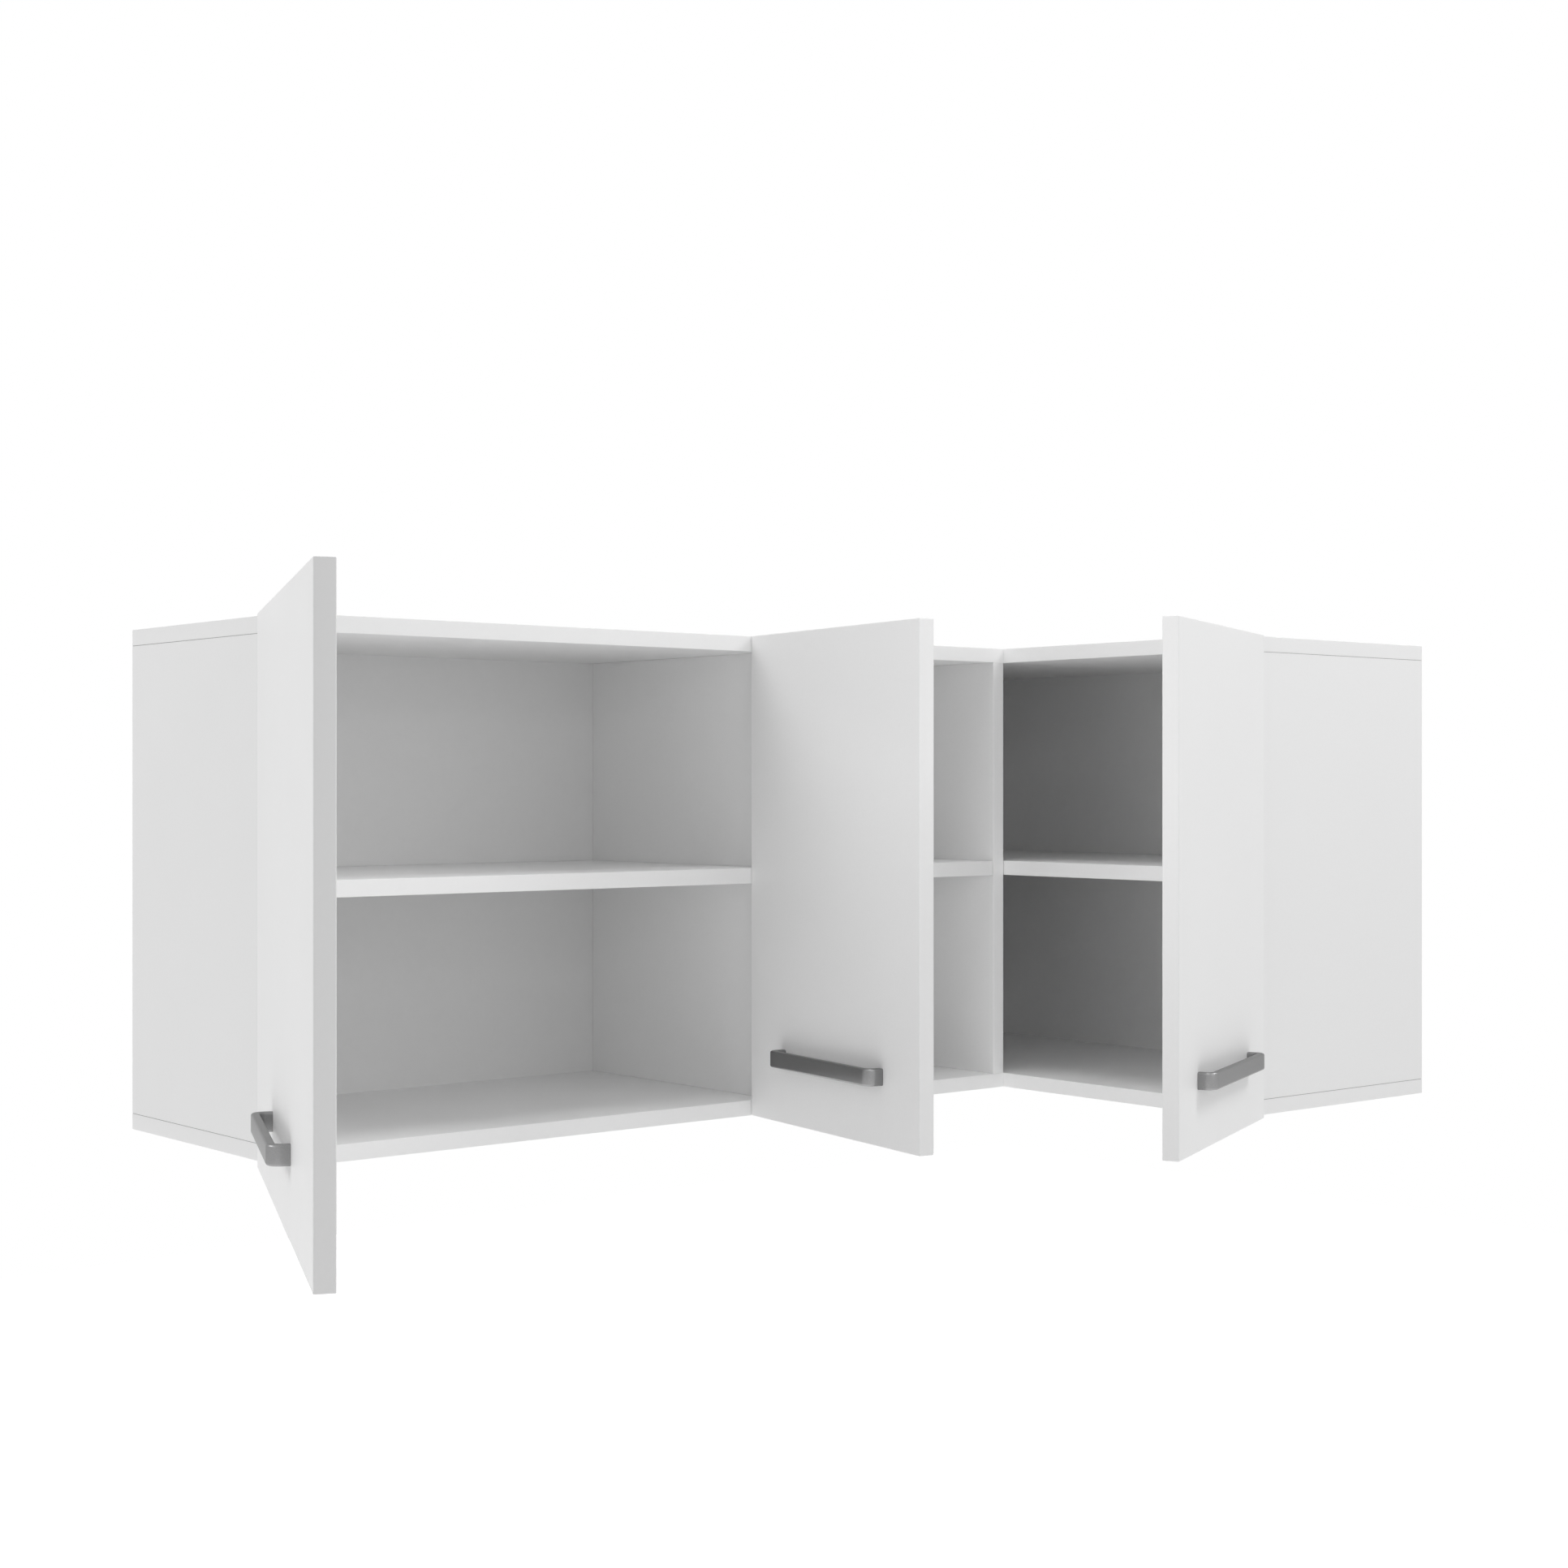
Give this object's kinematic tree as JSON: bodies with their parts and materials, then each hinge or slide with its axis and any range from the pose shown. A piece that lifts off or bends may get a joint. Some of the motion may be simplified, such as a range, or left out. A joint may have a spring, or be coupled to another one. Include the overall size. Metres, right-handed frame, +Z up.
{
  "type": "corner wall cabinet",
  "caption": "White L-shaped corner wall cabinet for a kitchen, with slab doors on pivot hinges, bow handles, inner shelves and hangers for wall plates.",
  "frame": {"origin": "the corner where the two wall planes meet, level with the underside of the cabinet", "axes": "+X along the wall of the longer wing towards the corner, +Y from the room into that wall, +Z up; the shorter wing runs along -Y on the wall x = 0"},
  "size_m": [1.4751, 0.8215, 0.5],
  "materials": {
    "white_melamine": "white melamine-faced chipboard, fine satin texture, white edge banding",
    "white_fibreboard": "thin fibreboard, painted white, satin",
    "satin_metal": "satin anodised",
    "plated_steel": "zinc plated",
    "white_plastic": "moulded, fine matt",
    "clear_buffer": "soft, translucent"
  },
  "bodies": {
    "cabinet": {"back_nails": "plated_steel", "back_panel_long": "white_fibreboard", "back_panel_short": "white_fibreboard", "bottom_board": "white_melamine", "carcass_leaf_screws_left": "plated_steel", "carcass_leaf_screws_middle": "plated_steel", "carcass_leaf_screws_right": "plated_steel", "carcass_leaves_left": "plated_steel", "carcass_leaves_middle": "plated_steel", "carcass_leaves_right": "plated_steel", "confirmat_screws": "plated_steel", "corner_end_panel": "white_melamine", "cover_caps": "white_plastic", "divider": "white_melamine", "hanger_adjusters": "plated_steel", "hanger_corner": "white_plastic", "hanger_hook_corner": "plated_steel", "hanger_hook_left": "plated_steel", "hanger_hook_right": "plated_steel", "hanger_left": "white_plastic", "hanger_right": "white_plastic", "hanger_screws": "plated_steel", "pivot_pins_left": "plated_steel", "pivot_pins_middle": "plated_steel", "pivot_pins_right": "plated_steel", "shelf_corner": "white_melamine", "shelf_narrow": "white_melamine", "shelf_pins_corner": "plated_steel", "shelf_pins_narrow": "plated_steel", "shelf_pins_wide": "plated_steel", "shelf_wide": "white_melamine", "side_left": "white_melamine", "side_right": "white_melamine", "top_board": "white_melamine", "wall_plate_corner": "plated_steel", "wall_plate_left": "plated_steel", "wall_plate_right": "plated_steel"},
    "left_door": {"door_left": "white_melamine", "handle_left": "satin_metal", "handle_screws_left": "plated_steel", "buffers_left": "clear_buffer", "door_leaves_left": "plated_steel", "door_leaf_screws_left": "plated_steel"},
    "middle_door": {"door_middle": "white_melamine", "handle_middle": "satin_metal", "handle_screws_middle": "plated_steel", "buffers_middle": "clear_buffer", "door_leaves_middle": "plated_steel", "door_leaf_screws_middle": "plated_steel"},
    "right_door": {"door_right": "white_melamine", "handle_right": "satin_metal", "handle_screws_right": "plated_steel", "buffers_right": "clear_buffer", "door_leaves_right": "plated_steel", "door_leaf_screws_right": "plated_steel"}
  },
  "joints": [
    {"name": "door_left_hinge", "type": "hinge", "parent": "cabinet", "child": "left_door", "pos_m": [-1.225, -0.312, 0], "axis": [0, 0, 1], "range_deg": [0, 113.8]},
    {"name": "door_middle_hinge", "type": "hinge", "parent": "cabinet", "child": "middle_door", "pos_m": [-0.66871, -0.3165, 0], "axis": [0, 0, 1], "range_deg": [0, 100]},
    {"name": "door_right_hinge", "type": "hinge", "parent": "cabinet", "child": "right_door", "pos_m": [-0.312, -0.655, 0], "axis": [0, 0, -1], "range_deg": [0, 115]}
  ],
  "couplings": [
    {"joint": "door_middle_hinge", "follows": "door_left_hinge", "ratio": 0.87873}
  ]
}
